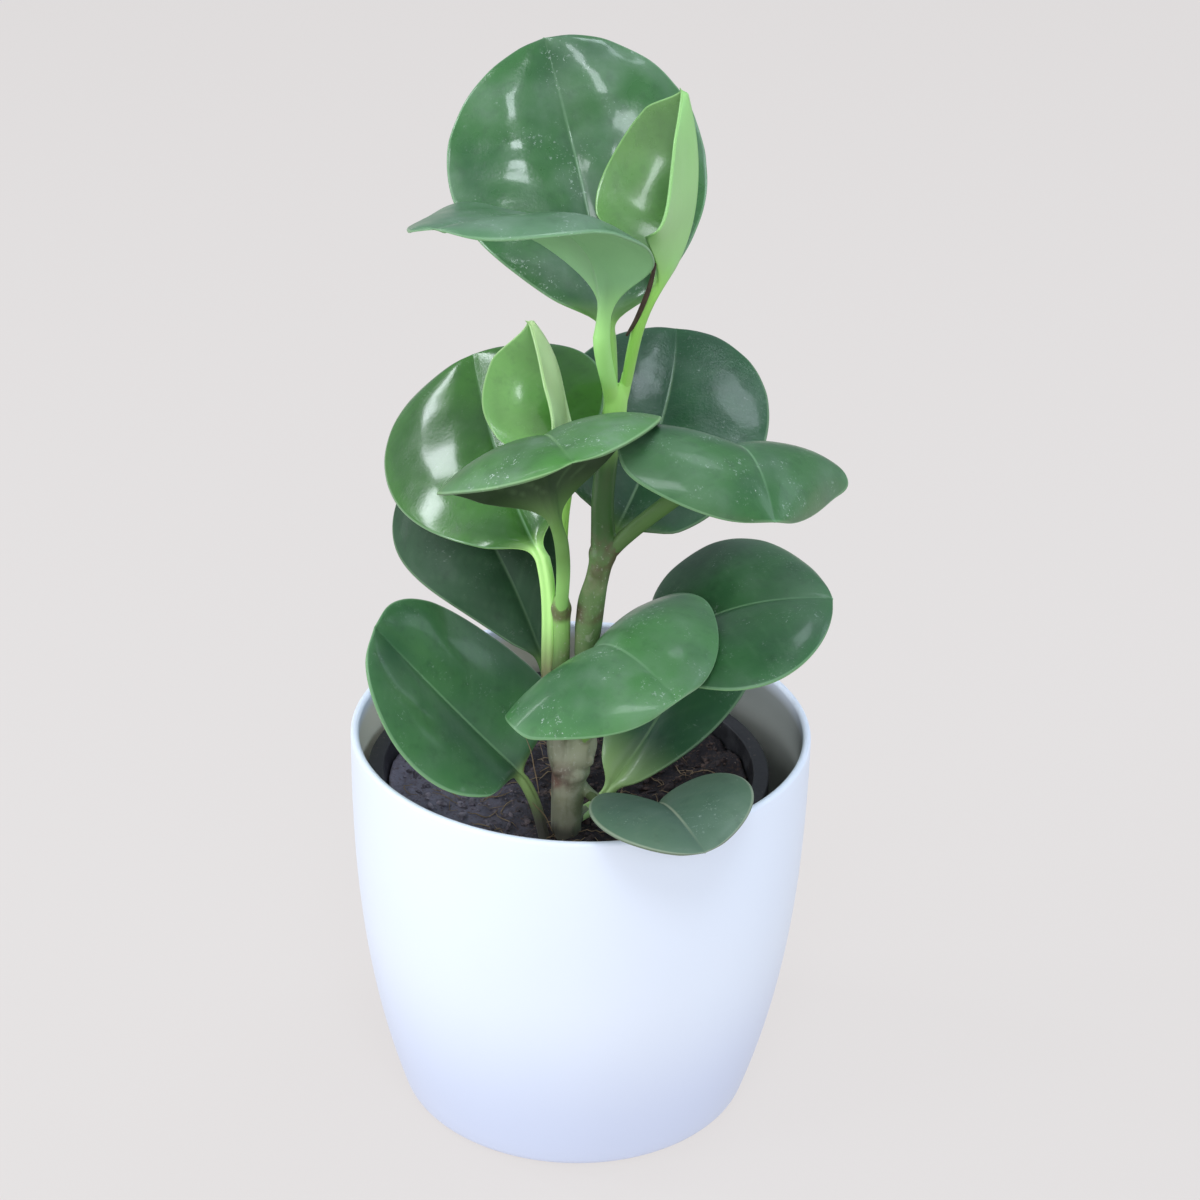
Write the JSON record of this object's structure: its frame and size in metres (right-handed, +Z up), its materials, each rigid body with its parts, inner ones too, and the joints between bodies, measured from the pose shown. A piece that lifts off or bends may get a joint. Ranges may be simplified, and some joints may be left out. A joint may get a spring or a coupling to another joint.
{
  "type": "potted plant",
  "caption": "Small peperomia with a forked stem and round glossy leaves, in a black growing pot inside a plain white cachepot.",
  "frame": {"origin": "centre of the cachepot's flat underside", "axes": "+Z up out of the pot, the plant's front looks towards -Y, +X to the viewer's right"},
  "size_m": [0.1378, 0.1555, 0.3193],
  "materials": {
    "pot": "smooth white with a soft sheen",
    "growing_pot": "matt black, slightly dusty",
    "soil": "rough crumbly potting mix with fine fibres",
    "stem": "smooth green to brown with ringed nodes and purple tints",
    "leaf": "glossy fleshy green with a sunk midrib and a paler underside",
    "young_leaf": "glossy bright green with a paler underside",
    "shaded_leaf": "satin dark blue-green"
  },
  "bodies": {
    "root": {"cachepot": "pot", "nursery_pot": "growing_pot", "soil": "soil", "stem": "stem", "leaf_top_back": "leaf", "leaf_top_front": "leaf", "leaf_top_young": "young_leaf", "leaf_left_young": "young_leaf", "leaf_left_front": "leaf", "leaf_left_back": "leaf", "leaf_left_low": "shaded_leaf", "leaf_right_front": "leaf", "leaf_right_back": "shaded_leaf", "leaf_right_low": "leaf", "leaf_centre_front": "leaf", "leaf_soil_left": "leaf", "leaf_base_back": "shaded_leaf", "leaf_base_front": "shaded_leaf"}
  },
  "joints": []
}
